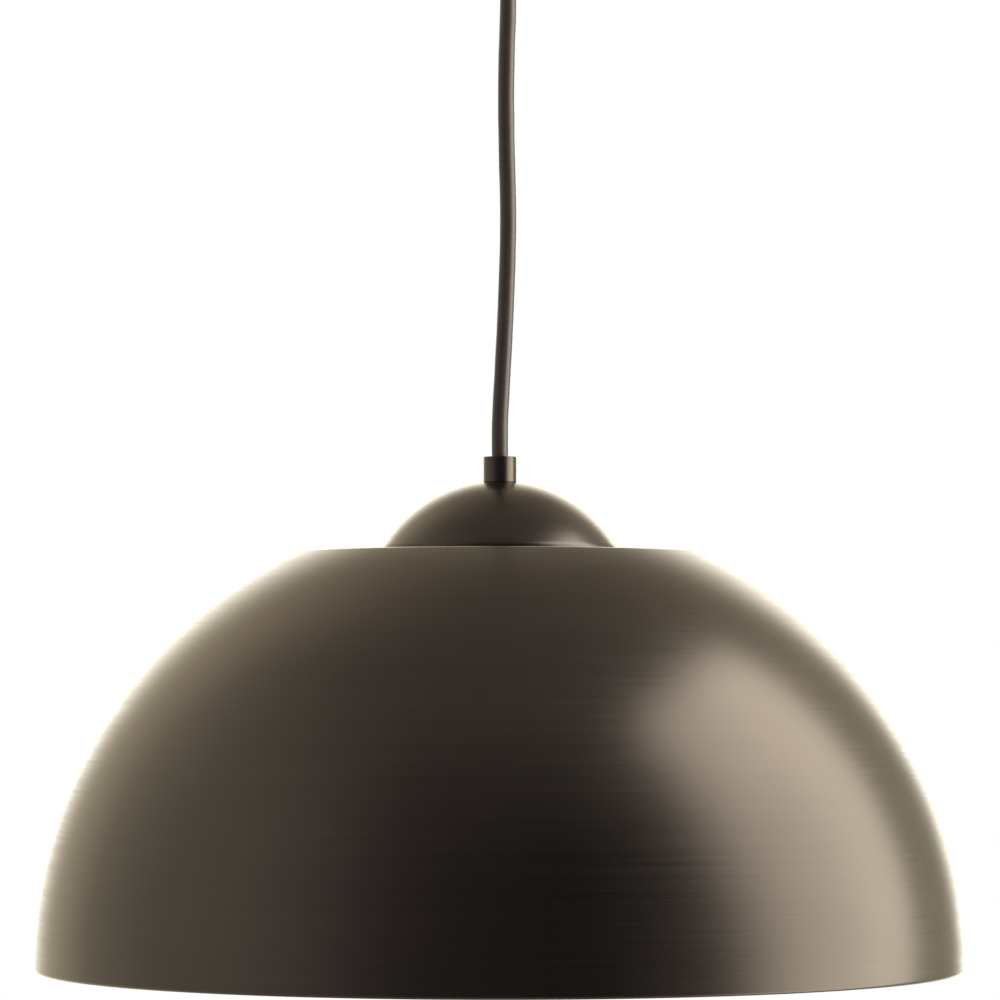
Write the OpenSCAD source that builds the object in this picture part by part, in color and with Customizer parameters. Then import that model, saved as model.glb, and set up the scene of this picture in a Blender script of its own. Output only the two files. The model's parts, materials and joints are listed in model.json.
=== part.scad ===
// Dome pendant lamp: ceiling fitting, round cord, spun dome shade with a cap, lampholder and bulb.
// Millimetres, +Z up. The origin is the centre of the outlet-box strap's upper face, in the plane
// of the ceiling, and everything hangs below it.

/* [Shade] */
// Outside diameter of the dome shade at its rim
shade_d = 406.4; // [396:0.1:420]
// Height of the shade's flat top above its rim
shade_h = 183.2; // [178:0.1:188]
// Thickness of the spun metal sheet
sheet = 1; // [0.8:0.1:1.2]
// Radius of the round where the dome meets its flat top
shoulder_r = 2.5; // [1.5:0.1:4]
// Radius of the hem rolled inwards at the rim
hem_r = 1.6; // [1.4:0.1:2]

/* [Cap over the shade] */
// Spherical radius of the cap
cap_sphere_r = 60; // [56:0.5:66]
// Height of the cap's sphere above the flat top
cap_h = 31.3; // [29:0.1:33]
// Height of the upright lip at the cap's foot
cap_lip = 2.2; // [1.5:0.1:4]

/* [Cord and grips] */
// Diameter of the round cord
cord_d = 7.4; // [6.8:0.1:7.6]
// Outside diameter of both cord grips
grip_d = 14.7; // [14:0.1:16]
// Height of the collar that grips the cord above the cap
collar_h = 11.2; // [10.5:0.1:12]
// Height of the grip below the canopy
canopy_grip_h = 14; // [12:0.5:16]

/* [Ceiling fitting] */
// Diameter of the canopy
canopy_d = 127; // [120:1:140]
// Depth of the canopy
canopy_h = 26; // [25:0.5:28]
// Round between the canopy's side and its flat bottom
canopy_round = 14; // [10:1:16]
// Length of the strap that is screwed to the outlet box
box_strap_l = 110; // [104:1:116]
// Distance between the centres of the outlet-box slots
slot_spacing = 79.4; // [78:0.1:81]
// End-to-end length of an outlet-box slot
slot_l = 14.2; // [12:0.1:15]
// Width of an outlet-box slot
slot_w = 4.6; // [4.4:0.1:5]
// Distance between the two canopy studs
stud_spacing = 70; // [64:1:76]

/* [Lampholder and bulb] */
// Outside diameter of the lampholder
holder_d = 37.2; // [36:0.1:39]
// Diameter of the bulb's globe
bulb_d = 60; // [56:1:64]
// Length of the bulb from its contact to its end
bulb_l = 107; // [104:1:112]

/* [Hidden] */
$fn = 72;

bronze = [0.20, 0.17, 0.14];
zinc = [0.72, 0.72, 0.70];
brass = [0.78, 0.62, 0.33];
nickel = [0.78, 0.77, 0.74];
black = [0.06, 0.06, 0.06];
white = [0.92, 0.92, 0.90];
green = [0.10, 0.42, 0.18];
orange = [0.90, 0.42, 0.10];

// Straps and studs of the ceiling fitting
strap_w = 16;
strap_t = 1.6;
strap_gap = 0.1;
canopy_strap_l = 90;
canopy_strap_z = -strap_t - strap_gap;
strap_under = canopy_strap_z - strap_t;
eyelet_r = 5;
eyelet_bore = 4;
flare_h = 1;
flare_r = 5.9;
stud_r = 2;
stud_end = -canopy_h - 6;
ground_y = 20;
screw_head_r = 4.5;

// Grip under the canopy, where the cord leaves the ceiling fitting
cord_r = cord_d / 2;
grip_r = grip_d / 2;
stem_r = 4.95;
thread_gap = 0.15;
grip_bore = cord_r + 0.3;
mouth_z = -canopy_h - canopy_grip_h;
mouth_r = 5.2;
flex_r = 3.4;
flex_gap = 0.3;
edge = 0.3;
grub_r = 1.45;

// The free cord hangs between the two grips: [sideways, height above the collar]
cord_route = [
    [0, 0], [0, 15], [1, 35], [2.3, 60], [3.4, 90], [3.6, 110], [3, 135], [2.7, 160],
    [3, 180], [3.6, 200], [3.4, 225], [1.5, 250], [0, 262], [0, 270]
];
cord_drop = cord_route[len(cord_route) - 1][1];

// Levels of the lamp, from the collar's top down to the rim
collar_z = mouth_z - cord_drop;
seat_z = collar_z - collar_h;
seat_drop = 0.4;
cap_centre = seat_z + seat_drop - cap_sphere_r;
top_z = seat_z + seat_drop - cap_h;
rim_z = top_z - shade_h;
shade_r = shade_d / 2;
under_top = top_z - sheet;

// Nipple and lampholder
nipple_r = 5;
nipple_bore = 3.5;
nipple_top = seat_z + 5.5;
cord_end_z = nipple_top + 0.4;
nut_flats = 14.3;
nut_h = 4;
washer_h = 1;
holder_r = holder_d / 2;
hub_z = under_top - washer_h - nut_h - 2;
hub_r = 8;
hub_h = 6;
holder_wall = 1.2;
holder_round = 8;
holder_ceiling = hub_z - hub_h - holder_wall;
skirt_end = hub_z - 26;
lug_h = 0.8;
lug_y = 9.3;
lug_barrel = 3;
inner_nut_h = 3;
nipple_end = holder_ceiling - lug_h - inner_nut_h - 2;
core_r = 15.2;
core_flat = 11;
core_top = nipple_end - 7.2;
core_z = core_top - 8.3;
terminal_z = core_z + 5;
sleeve_r = 17.2;
sleeve_bore = 15.6;
sleeve_end = skirt_end - 32;
shell_r = 13.3;
shell_t = 0.5;

// Bulb: its contact rests just under the lampholder's spring contact
contact_z = core_z - 2.8;
contact_gap = 0.2;
base_r = 12.95;
base_t = 0.45;
base_end = contact_z - 26;
globe_r = bulb_d / 2;
globe_z = contact_z - bulb_l + globe_r;
globe_t = 1.2;
globe_open = 38;
neck_open_r = globe_r * cos(globe_open);
neck_open_z = globe_z + globe_r * sin(globe_open);

// Insulated wires, and where the three of them lie in the cord and in the nipple
wire_r = 1.15;
line_xy = [-1.7, -1];
neutral_xy = [1.7, -1];
ground_xy = [0, 1.95];
tail_z = -15;
nut_mouth = 30;
nut_len = 19;
nut_turn = 38;
nut_z = -13;

function arc(centre, r, from, to, n = 10) =
    [for (k = [0:n]) let (a = from + (to - from) * k / n) centre + r * [cos(a), sin(a)]];

// Centre of the round of radius f between a sphere of radius r and a plane at height h
function round_centre(r, h, f) = [sqrt((r - f) ^ 2 - (h - f) ^ 2), h - f];

function unit(v) = v / norm(v);

function spline(a, b, c, d, t) =
    0.5 * (2 * b + (c - a) * t + (2 * a - 5 * b + 4 * c - d) * t ^ 2
        + (3 * b - a - 3 * c + d) * t ^ 3);

function smooth(p, n) = concat(
    [for (i = [0:len(p) - 2]) for (k = [0:n - 1])
        spline(p[max(i - 1, 0)], p[i], p[i + 1], p[min(i + 2, len(p) - 1)], k / n)],
    [p[len(p) - 1]]);

// The ring frames' first directions, carried along the tangents t without twisting
function carried(t, n, i = 0) =
    i == len(t) ? []
    : let (m = unit(n - t[i] * (n * t[i]))) concat([m], carried(t, m, i + 1));

// A closed round tube along the route points p, with n rings between two of them
module swept(p, r, n, sides) {
    s = smooth(p, n);
    last = len(s) - 1;
    ends = [unit(p[1] - p[0]), unit(p[len(p) - 1] - p[len(p) - 2])];
    t = [for (i = [0:last]) i == 0 ? ends[0] : i == last ? ends[1] : unit(s[i + 1] - s[i - 1])];
    side = abs(t[0].x) > 0.9 ? [0, 1, 0] : [1, 0, 0];
    across = carried(t, side);
    points = [for (i = [0:last]) for (j = [0:sides - 1])
        let (a = 360 * j / sides)
        s[i] + r * (across[i] * cos(a) + cross(t[i], across[i]) * sin(a))];
    walls = [for (i = [0:last - 1]) for (j = [0:sides - 1])
        let (k = (j + 1) % sides)
        [i * sides + j, (i + 1) * sides + j, (i + 1) * sides + k, i * sides + k]];
    start = [for (j = [0:sides - 1]) j];
    finish = [for (j = [sides - 1:-1:0]) last * sides + j];
    polyhedron(points, concat(walls, [start, finish]), convexity = 4);
}

module disc(r, low, high) {
    translate([0, 0, low]) cylinder(r = r, h = high - low);
}

module ring(r, bore, low, high) {
    difference() {
        disc(r, low, high);
        disc(bore, low - 1, high + 1);
    }
}

module hex_nut(flats, bore, low, high) {
    difference() {
        translate([0, 0, low]) cylinder(d = flats / cos(30), h = high - low, $fn = 6);
        disc(bore, low - 1, high + 1);
    }
}

module turned(outline) {
    rotate_extrude() polygon(outline);
}

module at_studs() {
    for (side = [-1, 1]) translate([0, side * stud_spacing / 2, 0]) children();
}

// A grub screw from the back of a grip, its tip on the cord
module grub(z) {
    length = grip_r - cord_r - 0.2;
    translate([0, cord_r + 0.05, z]) rotate([-90, 0, 0]) difference() {
        cylinder(r = grub_r, h = length);
        translate([0, 0, length - 1.2]) cylinder(d = 1.5, h = 2);
    }
}

module grub_hole(z) {
    translate([0, 0, z]) rotate([-90, 0, 0]) cylinder(r = grub_r + 0.1, h = grip_r + 1);
}

// Ceiling fitting

module slot_hole() {
    reach = (slot_l - slot_w) / 2;
    for (end = [-1, 1]) translate([end * reach, 0, -strap_t - 1]) cylinder(d = slot_w, h = strap_t + 2);
    translate([-reach, -slot_w / 2, -strap_t - 1]) cube([2 * reach, slot_w, strap_t + 2]);
}

module strap(length, top) {
    corner = 3;
    translate([0, 0, top - strap_t]) linear_extrude(strap_t) {
        square([length - 2 * corner, strap_w], center = true);
        square([length, strap_w - 2 * corner], center = true);
        for (x = [-1, 1]) for (y = [-1, 1])
            translate([x * (length / 2 - corner), y * (strap_w / 2 - corner)]) circle(corner);
    }
}

module box_strap() {
    color(zinc) difference() {
        strap(box_strap_l, 0);
        for (side = [-1, 1]) translate([side * slot_spacing / 2, 0, 0]) slot_hole();
        disc(eyelet_r + 0.3, -strap_t - 1, 1);
        translate([0, 0, -flare_h]) cylinder(r1 = eyelet_r + 0.3, r2 = flare_r + 0.5, h = flare_h + 0.01);
    }
}

module canopy_strap() {
    color(zinc) difference() {
        rotate(90) strap(canopy_strap_l, canopy_strap_z);
        disc(eyelet_r + 0.05, strap_under - 1, 0);
        at_studs() disc(stud_r + 0.05, strap_under - 1, 0);
        translate([0, ground_y, 0]) disc(stud_r + 0.05, strap_under - 1, 0);
    }
}

// Hollow rivet that holds both straps and lets them swivel
module strap_eyelet() {
    color(zinc) turned([
        [eyelet_bore, -0.1], [flare_r - 0.1, -0.1], [eyelet_r, -flare_h], [eyelet_r, strap_under],
        [7, strap_under], [7, strap_under - 1], [eyelet_bore, strap_under - 1]
    ]);
}

module canopy_studs() {
    color(zinc) at_studs() disc(stud_r, stud_end, -0.5);
}

module stud_nuts() {
    color(zinc) at_studs() hex_nut(7, stud_r + 0.05, strap_under - 3, strap_under);
}

module ground_screw() {
    gap = 2 * wire_r + 0.3;
    color(green) translate([0, ground_y, 0]) {
        disc(stud_r, strap_under - gap - 1, -0.6);
        difference() {
            disc(screw_head_r, strap_under - gap - 2.6, strap_under - gap);
            translate([-3, -0.5, strap_under - gap - 3]) cube([6, 1, 1.2]);
        }
    }
}

module canopy() {
    corner = [canopy_d / 2 - 1 - canopy_round, canopy_round - canopy_h];
    outside = arc(corner, canopy_round, 0, -90);
    inside = arc(corner, canopy_round - sheet, -90, 0);
    color(bronze) difference() {
        turned(concat(
            [[canopy_d / 2, 0]], outside,
            [[stem_r + 0.25, -canopy_h], [stem_r + 0.25, sheet - canopy_h]],
            inside, [[canopy_d / 2 - sheet, 0]]));
        at_studs() disc(stud_r + 0.3, -canopy_h - 1, sheet - canopy_h + 1);
    }
}

// Blind ball nuts that carry the canopy on its studs
module finger_nuts() {
    ball = 5;
    color(bronze) at_studs() difference() {
        turned(concat(
            [[0, -canopy_h], [6, -canopy_h], [6, -canopy_h - 1.5]],
            arc([0, -canopy_h - 6], ball, 40, -90)));
        disc(stud_r + 0.1, stud_end - 0.5, -canopy_h + 1);
    }
}

module canopy_grip() {
    color(bronze) difference() {
        turned([
            [grip_bore, sheet - canopy_h + 6], [stem_r, sheet - canopy_h + 6], [stem_r, -canopy_h],
            [grip_r - edge, -canopy_h], [grip_r, -canopy_h - edge], [grip_r, mouth_z + edge],
            [grip_r - edge, mouth_z], [mouth_r, mouth_z], [grip_bore, mouth_z + 4]
        ]);
        grub_hole(mouth_z + 9);
    }
}

module canopy_grip_nut() {
    color(zinc) hex_nut(nut_flats, stem_r + thread_gap, sheet - canopy_h, sheet - canopy_h + 3.5);
}

module canopy_grip_screw() {
    color(zinc) grub(mouth_z + 9);
}

// Cord jacket inside the canopy and its grip, with the wires that come out of it
module cord_tail() {
    color(black) disc(cord_r, mouth_z + flex_r + flex_gap, tail_z);
}

function lift(xy, z) = [xy.x, xy.y, z];

// A point of the canopy wires at a distance from the axis, on the side of a wire nut
function nut_side(side, distance, z) =
    [side * distance * cos(nut_turn), -distance * sin(nut_turn), z];

module side_tail(side, xy) {
    swept([
        lift(xy, tail_z), lift(xy, tail_z + 2), nut_side(side, 5, -10), nut_side(side, 12, -8.5),
        nut_side(side, 20, -10.5), nut_side(side, 28, nut_z), nut_side(side, 34, nut_z)
    ], wire_r, 3, 8);
}

module line_tail() {
    color(black) side_tail(-1, line_xy);
}

module neutral_tail() {
    color(white) side_tail(1, neutral_xy);
}

module ground_tail() {
    z = strap_under - wire_r - 0.15;
    hook = 3.3;
    color(green) swept([
        lift(ground_xy, tail_z), lift(ground_xy, tail_z + 2), [0.5, 4, -9.5], [2, 9, -7.5],
        [2.8, 12, z - 1], [hook, ground_y - 4.5, z], [hook * cos(25), ground_y + hook * sin(25), z],
        [hook * cos(70), ground_y + hook * sin(70), z], [hook * cos(115), ground_y + hook * sin(115), z],
        [hook * cos(160), ground_y + hook * sin(160), z]
    ], wire_r, 3, 8);
}

module wire_nut() {
    difference() {
        cylinder(r1 = 5.5, r2 = 3.6, h = nut_len);
        translate([0, 0, -1]) cylinder(r = 3.2, h = 11);
    }
}

module wire_nuts() {
    color(orange) for (side = [-1, 1])
        translate(nut_side(side, nut_mouth, nut_z))
            rotate([0, 0, side > 0 ? -nut_turn : 180 + nut_turn]) rotate([0, 90, 0]) wire_nut();
}

// Free cord

// The cord's bend at the grip's mouth, which both swings turn about
module cord_flex() {
    color(black) translate([0, 0, mouth_z]) sphere(flex_r);
}

module cord() {
    top = mouth_z - flex_r - flex_gap;
    path = [for (p = cord_route) [p.x, 0, min(collar_z + p.y, top)]];
    color(black) swept(path, cord_r, 2, 12);
}

// Lamp: collar, cap and shade

module collar() {
    color(bronze) difference() {
        turned([
            [grip_bore, collar_z], [grip_r - edge, collar_z], [grip_r, collar_z - edge],
            [grip_r, seat_z], [nipple_r + thread_gap, seat_z], [nipple_r + thread_gap, nipple_top],
            [grip_bore, nipple_top]
        ]);
        grub_hole(collar_z - 3);
    }
}

module collar_screw() {
    color(zinc) grub(collar_z - 3);
}

module cord_end() {
    color(black) disc(cord_r, cord_end_z, collar_z);
}

module nipple() {
    color(brass) ring(nipple_r, nipple_bore, nipple_end, nipple_top);
}

module cap() {
    inner_r = cap_sphere_r - sheet;
    lip = top_z + cap_lip - cap_centre;
    crown = seat_z - cap_centre;
    outside = arc([0, cap_centre], cap_sphere_r, asin(lip / cap_sphere_r), asin(crown / cap_sphere_r), 16);
    inside = arc([0, cap_centre], inner_r, asin((crown - sheet) / inner_r), asin(lip / inner_r), 16);
    wall = [outside[0].x, inside[len(inside) - 1].x];
    hole = nipple_r + thread_gap;
    color(bronze) turned(concat(
        [[wall[0], top_z]], outside, [[hole, seat_z], [hole, seat_z - sheet]], inside, [[wall[1], top_z]]));
}

module shade() {
    inner_r = shade_r - sheet;
    round_out = round_centre(shade_r, shade_h, shoulder_r);
    round_in = round_centre(inner_r, shade_h - sheet, shoulder_r - sheet);
    turn_out = atan2(round_out.y, round_out.x);
    turn_in = atan2(round_in.y, round_in.x);
    hem = [shade_r - hem_r, hem_r];
    hem_meet = acos((hem_r - sheet) / hem_r);
    hole = nipple_r + thread_gap;
    color(bronze) translate([0, 0, rim_z]) turned(concat(
        [[hole, shade_h]],
        arc(round_out, shoulder_r, 90, turn_out, 4),
        arc([0, 0], shade_r, turn_out - 3, asin(hem_r / shade_r) + 0.5, 20),
        arc(hem, hem_r, 0, hem_meet - 360, 16),
        arc([0, 0], inner_r, asin(2.5 * hem_r / inner_r), turn_in - 3, 20),
        arc(round_in, shoulder_r - sheet, turn_in, 90, 4),
        [[hole, shade_h - sheet]]));
}

module lock_washer() {
    color(zinc) ring(10, nipple_r + thread_gap, under_top - washer_h, under_top);
}

module shade_nut() {
    color(zinc) hex_nut(nut_flats, nipple_r + thread_gap, under_top - washer_h - nut_h, under_top - washer_h);
}

// Lampholder

module socket_cap() {
    bend = [holder_r - holder_round, hub_z - hub_h - holder_round];
    hole = nipple_r + thread_gap;
    color(black) turned(concat(
        [[hole, hub_z], [hub_r, hub_z], [hub_r, hub_z - hub_h]],
        arc(bend, holder_round, 90, 0),
        [[holder_r, skirt_end], [holder_r - holder_wall, skirt_end]],
        arc(bend, holder_round - holder_wall, 0, 90),
        [[hole, holder_ceiling]]));
}

// Ring under the inner nut, with a barrel that grips the ground wire
module ground_lug() {
    low = holder_ceiling - lug_h;
    color(zinc) {
        difference() {
            union() {
                disc(8, low, holder_ceiling);
                translate([-2, 6, low]) cube([4, lug_y - 5, lug_h]);
            }
            disc(nipple_r + thread_gap, low - 1, holder_ceiling + 1);
        }
        translate([0, lug_y, 0]) disc(1.5, low - lug_barrel, low + 0.1);
    }
}

module socket_nut() {
    low = holder_ceiling - lug_h - inner_nut_h;
    color(zinc) hex_nut(nut_flats, nipple_r + thread_gap, low, low + inner_nut_h);
}

// A wire from the cord, down the nipple, to the gap under a terminal screw's head
module terminal_wire(side, xy) {
    x = core_flat + 0.15 + wire_r;
    swept([
        lift(xy, cord_end_z), lift(xy, nipple_end), lift(xy, nipple_end - 1.5), [side * 5, 1.2, nipple_end - 3.6],
        [side * 9.5, 2.8, nipple_end - 4.2], [side * x, 3.2, nipple_end - 6.5],
        [side * x, 3.2, terminal_z + 2], [side * x, 3.2, terminal_z - 3]
    ], wire_r, 3, 8);
}

module line_wire() {
    color(black) terminal_wire(-1, line_xy);
}

module neutral_wire() {
    color(white) terminal_wire(1, neutral_xy);
}

module ground_wire() {
    barrel_end = holder_ceiling - lug_h - lug_barrel;
    color(green) swept([
        lift(ground_xy, cord_end_z), lift(ground_xy, nipple_end), lift(ground_xy, nipple_end - 1),
        [0, 4.2, nipple_end - 3],
        [0, 6.8, nipple_end - 3.4], [0, 8.8, nipple_end - 2], [0, lug_y, barrel_end - 1],
        [0, lug_y, barrel_end]
    ], wire_r, 3, 8);
}

// Body between the terminals: it sits on the sleeve's ledge and carries the screw shell
module socket_core() {
    color(white) difference() {
        disc(core_r, core_z, core_top);
        for (side = [-1, 1]) translate([side > 0 ? core_flat : -core_flat - 10, -20, core_z + 1.5])
            cube([10, 40, 20]);
        for (side = [-1, 1]) translate([side * (core_flat - 4), 0, terminal_z]) rotate([0, side * 90, 0])
            cylinder(r = 1.75, h = 10);
    }
}

module terminal_screw(side) {
    head_x = core_flat + 2 * wire_r + 0.3;
    translate([0, 0, terminal_z]) rotate([0, side * 90, 0]) {
        translate([0, 0, core_flat - 4]) cylinder(r = 1.65, h = head_x - core_flat + 4.5);
        translate([0, 0, head_x]) cylinder(r = 3.3, h = 1.4);
    }
}

module line_screw() {
    color(brass) terminal_screw(-1);
}

module neutral_screw() {
    color(nickel) terminal_screw(1);
}

module socket_sleeve() {
    color(black) turned([
        [sleeve_bore, core_top], [sleeve_r, core_top], [sleeve_r, skirt_end], [holder_r, skirt_end],
        [holder_r, skirt_end - 2], [sleeve_r + 0.4, skirt_end - 3.5], [sleeve_r + 0.4, sleeve_end + 4],
        [holder_r, sleeve_end + 2.5], [holder_r, sleeve_end + 0.8], [holder_r - 0.8, sleeve_end],
        [sleeve_bore, sleeve_end], [sleeve_bore, core_z - 2], [14.2, core_z - 2], [14.2, core_z],
        [sleeve_bore, core_z]
    ]);
}

module screw_shell() {
    outer = shell_r + shell_t;
    color(brass) turned([
        [8, core_z], [outer, core_z], [outer, sleeve_end + 1.5], [shell_r, sleeve_end + 1.5],
        [shell_r, core_z - shell_t], [8, core_z - shell_t]
    ]);
}

// Sprung strip, riveted off centre, whose free end meets the bulb's contact
module socket_contact() {
    low = contact_z + contact_gap;
    t = 0.5;
    color(brass) translate([0, 2.5, 0]) rotate([90, 0, 0]) linear_extrude(5) polygon([
        [-6.5, core_z], [-2.5, core_z], [-1, low + t], [2.5, low + t], [2.5, low],
        [-1.3, low], [-2.8, core_z - t], [-6.5, core_z - t]
    ]);
}

// Bulb

module bulb_tip() {
    color(nickel) disc(4.5, contact_z - 1.3, contact_z);
}

module bulb_insulator() {
    color(black) turned([
        [0, contact_z - 1.3], [4.8, contact_z - 1.3], [8.8, contact_z - 3.4], [8.8, contact_z - 4.4],
        [0, contact_z - 4.4]
    ]);
}

module bulb_base() {
    shoulder = contact_z - 3.4;
    color(nickel) turned([
        [8.9, shoulder], [9.3, shoulder], [base_r, shoulder - 3], [base_r, base_end],
        [base_r - base_t, base_end], [base_r - base_t, shoulder - 3.2], [8.9, shoulder - 0.8]
    ]);
}

module bulb_housing() {
    wall = 1.5;
    color(white) turned([
        [base_r - base_t - 2, base_end + 4], [base_r - base_t - 0.05, base_end + 4],
        [base_r - base_t - 0.05, base_end], [base_r + 0.6, base_end], [base_r + 1, base_end - 5],
        [neck_open_r, neck_open_z], [neck_open_r - wall - 0.6, neck_open_z],
        [base_r - base_t - 2, base_end - 5]
    ]);
}

module led_board() {
    color(nickel) disc(neck_open_r - 2.4, neck_open_z - 1, neck_open_z + 0.6);
}

module bulb_globe() {
    color(white) turned(concat(
        arc([0, globe_z], globe_r, globe_open, -90, 16),
        arc([0, globe_z], globe_r - globe_t, -90, globe_open - 2, 16),
        [[neck_open_r - globe_t - 0.8, neck_open_z]]));
}

box_strap();
canopy_strap();
strap_eyelet();
canopy_studs();
stud_nuts();
ground_screw();
canopy();
finger_nuts();
canopy_grip();
canopy_grip_nut();
canopy_grip_screw();
cord_tail();
line_tail();
neutral_tail();
ground_tail();
wire_nuts();
cord_flex();
cord();
collar();
collar_screw();
cord_end();
nipple();
cap();
shade();
lock_washer();
shade_nut();
socket_cap();
ground_lug();
socket_nut();
line_wire();
neutral_wire();
ground_wire();
socket_core();
line_screw();
neutral_screw();
socket_sleeve();
screw_shell();
socket_contact();
bulb_tip();
bulb_insulator();
bulb_base();
bulb_housing();
led_board();
bulb_globe();
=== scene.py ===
"""Dome pendant lamp: a bronze shade and cap on a round cord, with ceiling fitting, lampholder and bulb.

Everything is in metres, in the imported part's frame: +Z up, the origin in the plane of the ceiling.
"""

import json
import math

import bmesh
import bpy
from mathutils import Matrix, Vector

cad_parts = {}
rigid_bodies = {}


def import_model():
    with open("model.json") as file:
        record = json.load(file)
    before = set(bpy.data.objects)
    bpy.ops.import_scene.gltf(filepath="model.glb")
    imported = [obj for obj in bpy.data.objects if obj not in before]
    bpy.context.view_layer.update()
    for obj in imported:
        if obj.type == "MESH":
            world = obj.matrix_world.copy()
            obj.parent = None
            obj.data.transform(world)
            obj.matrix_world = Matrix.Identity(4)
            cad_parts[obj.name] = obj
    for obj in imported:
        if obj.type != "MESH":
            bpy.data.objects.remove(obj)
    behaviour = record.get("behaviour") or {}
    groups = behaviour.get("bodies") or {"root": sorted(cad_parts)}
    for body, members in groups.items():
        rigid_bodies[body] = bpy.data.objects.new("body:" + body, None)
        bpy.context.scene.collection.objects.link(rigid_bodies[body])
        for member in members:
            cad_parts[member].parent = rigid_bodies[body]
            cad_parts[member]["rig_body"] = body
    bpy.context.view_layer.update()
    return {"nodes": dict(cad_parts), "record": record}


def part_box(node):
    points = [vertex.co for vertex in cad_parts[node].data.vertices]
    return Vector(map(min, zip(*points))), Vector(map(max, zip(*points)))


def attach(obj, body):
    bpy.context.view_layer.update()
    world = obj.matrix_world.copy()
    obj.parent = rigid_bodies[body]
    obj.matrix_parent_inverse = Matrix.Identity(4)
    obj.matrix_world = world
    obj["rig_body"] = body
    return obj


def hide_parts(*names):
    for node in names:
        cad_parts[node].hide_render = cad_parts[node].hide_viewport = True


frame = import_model()
scene = bpy.context.scene
slots = {part["node"]: part["material_slot"] for part in frame["record"]["subparts"]}

MM = 0.001
SHEET = 1.0 * MM
TURN = 2 * math.pi


def low(node):
    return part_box(node)[0].z


def high(node):
    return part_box(node)[1].z


def radius(node):
    """Outside radius of a node that is turned about the lamp's axis."""
    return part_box(node)[1].x


def placed(name, data):
    """A new object in the scene."""
    item = bpy.data.objects.new(name, data)
    scene.collection.objects.link(item)
    return item


# ---------------------------------------------------------------- camera

EYE = Vector((0, -2.0, -0.4153))
TILT = math.radians(2.47)
LENS = 163.4  # in millimetres, for a sensor 36 mm wide


def make_camera():
    data = bpy.data.cameras.new("camera")
    data.lens = LENS
    data.sensor_width = 36
    data.clip_end = 60
    camera = placed("camera", data)
    camera.location = EYE
    camera.rotation_euler = (math.pi / 2 + TILT, 0, 0)
    scene.camera = camera


make_camera()

# ---------------------------------------------------------------- material nodes


class Nodes:
    """Adds nodes to a tree and links them, with sockets given by name."""

    def __init__(self, tree):
        self.tree = tree
        tree.nodes.clear()

    def add(self, kind, settings=None, **inputs):
        node = self.tree.nodes.new(kind)
        for key, value in (settings or {}).items():
            setattr(node, key, value)
        for key, value in inputs.items():
            self.put(node, key.replace("_", " "), value)
        return node

    def put(self, node, name, value):
        socket = node.inputs[name]
        if isinstance(value, bpy.types.NodeSocket):
            self.tree.links.new(value, socket)
        else:
            socket.default_value = value

    def fill(self, node, *values):
        """Sets the inputs of a node in their order."""
        for index, value in enumerate(values):
            self.put(node, index, value)
        return node

    def math(self, operation, a, b=0.0, c=0.0):
        return self.fill(self.add("ShaderNodeMath", {"operation": operation}), a, b, c).outputs[0]

    def times(self, a, b):
        return self.math("MULTIPLY", a, b)

    def plus(self, a, b):
        return self.math("ADD", a, b)

    def times_plus(self, a, b, c):
        return self.math("MULTIPLY_ADD", a, b, c)

    def hypotenuse(self, a, b):
        return self.math("SQRT", self.plus(self.times(a, a), self.times(b, b)))

    def split(self, vector):
        """The vector's x, y and z."""
        return self.add("ShaderNodeSeparateXYZ", Vector=vector).outputs

    def ramp(self, factor, stops):
        """A value that follows stops of (position, value)."""
        node = self.tree.nodes.new("ShaderNodeValToRGB")
        band = node.color_ramp
        while len(band.elements) < len(stops):
            band.elements.new(0.5)
        for element, (position, value) in zip(band.elements, stops):
            element.position = position
            colour = value if hasattr(value, "__len__") else (value, value, value)
            element.color = (*colour, 1)
        self.tree.links.new(factor, node.inputs[0])
        return node.outputs[0]

    def step(self, value, start, end):
        """0 before start, 1 after end, and smooth between them."""
        node = self.add("ShaderNodeMapRange", {"interpolation_type": "SMOOTHSTEP"})
        return self.fill(node, value, start, end).outputs[0]

    def noise(self, vector, scale, detail=3.0, roughness=0.5):
        inputs = {"Vector": vector, "Scale": scale, "Detail": detail, "Roughness": roughness}
        return self.add("ShaderNodeTexNoise", **inputs).outputs[0]

    def bump(self, principled, strength, distance, height):
        node = self.add("ShaderNodeBump", Strength=strength, Distance=distance, Height=height)
        self.put(principled, "Normal", node.outputs[0])


def place(nodes):
    """The point of the surface, in the object's own frame."""
    return nodes.add("ShaderNodeTexCoord").outputs["Object"]


def shader(name):
    """A new material: its nodes, its principled shader and the point that they work from."""
    material = bpy.data.materials.new(name)
    material.use_nodes = True
    nodes = Nodes(material.node_tree)
    principled = nodes.add("ShaderNodeBsdfPrincipled")
    nodes.add("ShaderNodeOutputMaterial", Surface=principled.outputs[0])
    return material, nodes, principled, place(nodes)


def varied(nodes, factor, colour, spread):
    """The colour, from darker to lighter by spread as the factor goes from 0.3 to 0.7."""
    darker = tuple(c * (1 - spread) for c in colour)
    lighter = tuple(min(1, c * (1 + spread)) for c in colour)
    return nodes.ramp(factor, [(0.3, darker), (0.7, lighter)])


def surface(name, colour, roughness, metallic=0.0, spread=0.06, grain=400, uneven=0.05, relief=0.05):
    """A finish whose colour, gloss and surface vary a little, with bumps of about 1/grain metres."""
    material, nodes, principled, point = shader(name)
    patches = nodes.noise(point, grain / 12, 4)
    grains = nodes.noise(point, grain, 2)
    nodes.put(principled, "Base Color", varied(nodes, patches, colour, spread))
    nodes.put(principled, "Metallic", metallic)
    gloss = nodes.ramp(grains, [(0.3, roughness - uneven), (0.7, roughness + uneven)])
    nodes.put(principled, "Roughness", gloss)
    nodes.bump(principled, relief, 0.1 * MM, grains)
    return material, principled


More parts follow.
